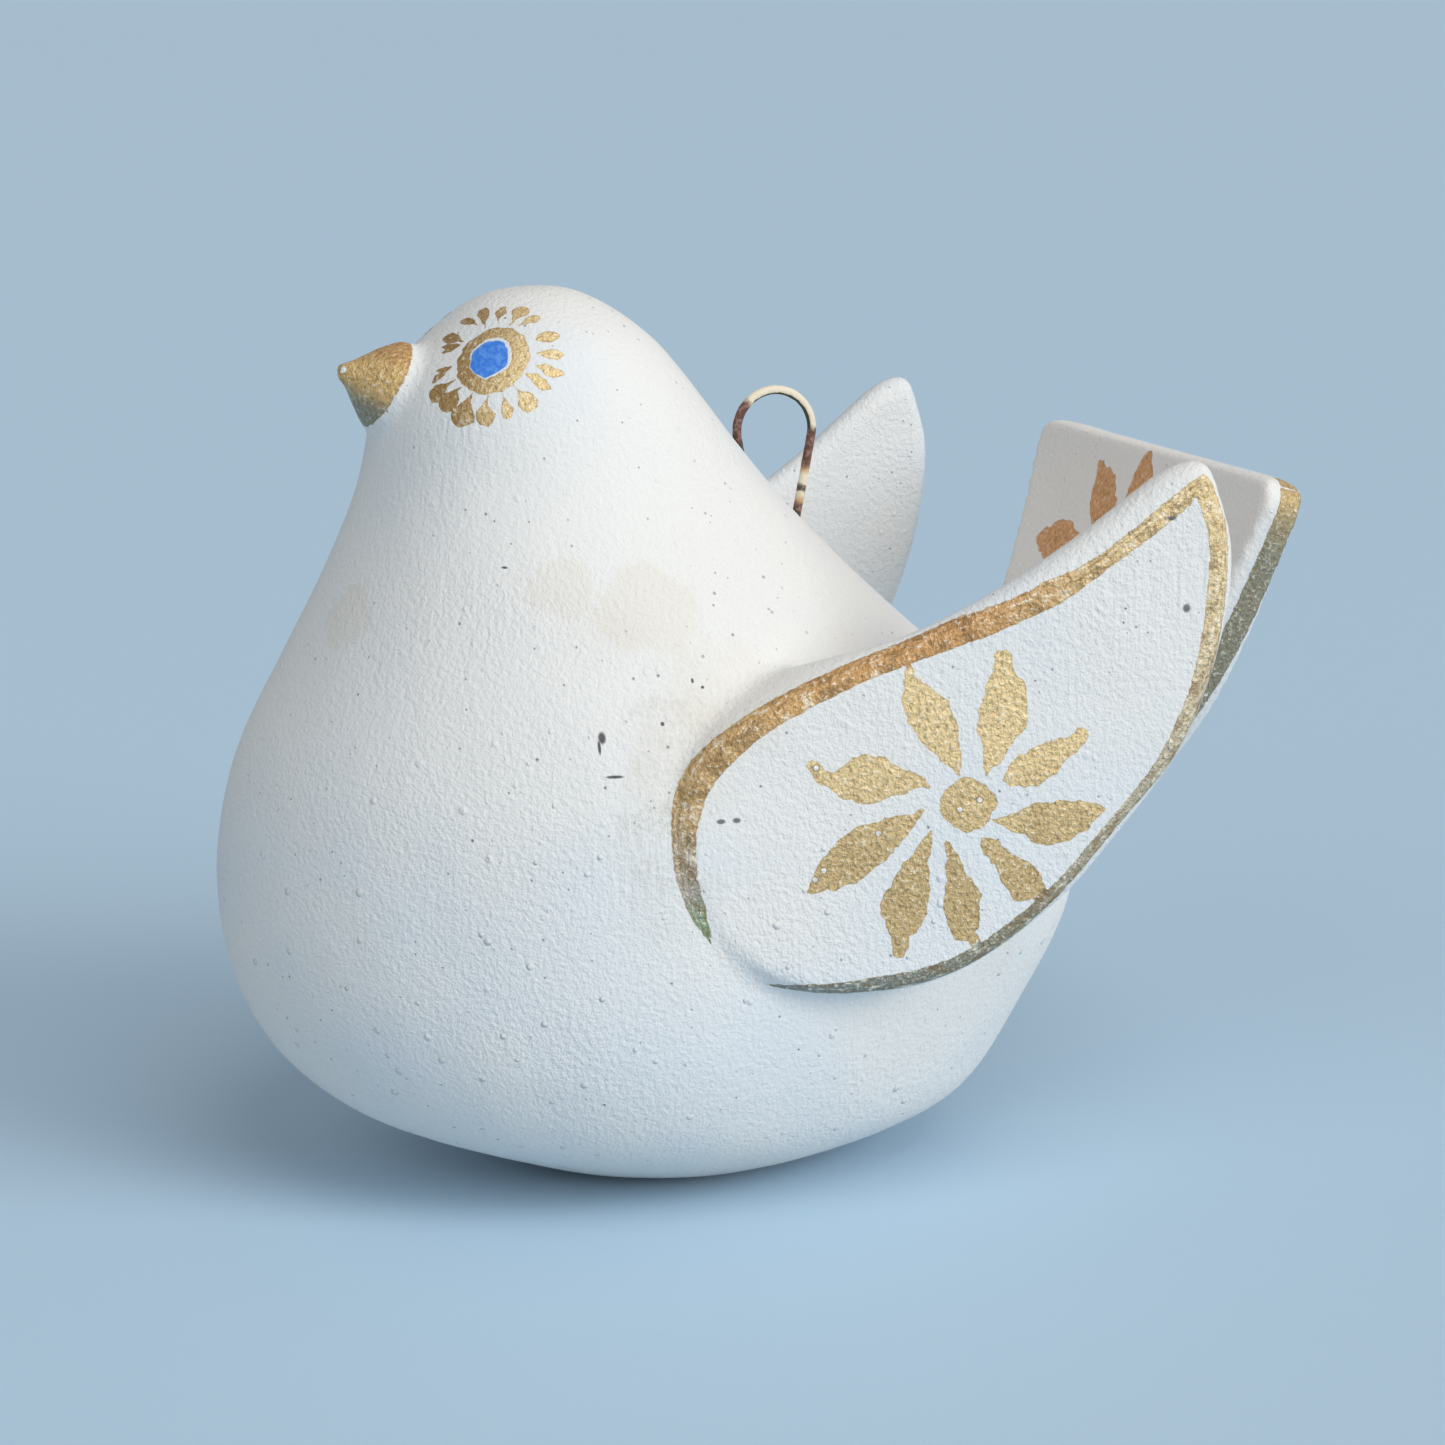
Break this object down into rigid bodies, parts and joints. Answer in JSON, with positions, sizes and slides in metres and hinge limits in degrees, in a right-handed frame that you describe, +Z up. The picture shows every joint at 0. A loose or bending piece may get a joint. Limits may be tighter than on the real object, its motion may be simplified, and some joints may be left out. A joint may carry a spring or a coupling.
{
  "type": "pottery dove figurine",
  "caption": "Plump fired-clay dove ornament with raised wings and an upright fan tail, painted white, standing on a flat foot, with a bent wire hanging loop in its back.",
  "frame": {"origin": "middle of the flat foot that the dove stands on", "axes": "+Z up, the beak points along -Y and the tail along +Y, the dove's left wing is at +X"},
  "size_m": [0.084, 0.1139, 0.0973],
  "materials": {
    "painted_clay": "matt white paint on coarse fired clay, with gold and blue decoration",
    "rusted_wire": "rusted steel wire with traces of cream paint"
  },
  "bodies": {
    "root": {"dove": "painted_clay", "hanging_loop": "rusted_wire"}
  },
  "joints": []
}
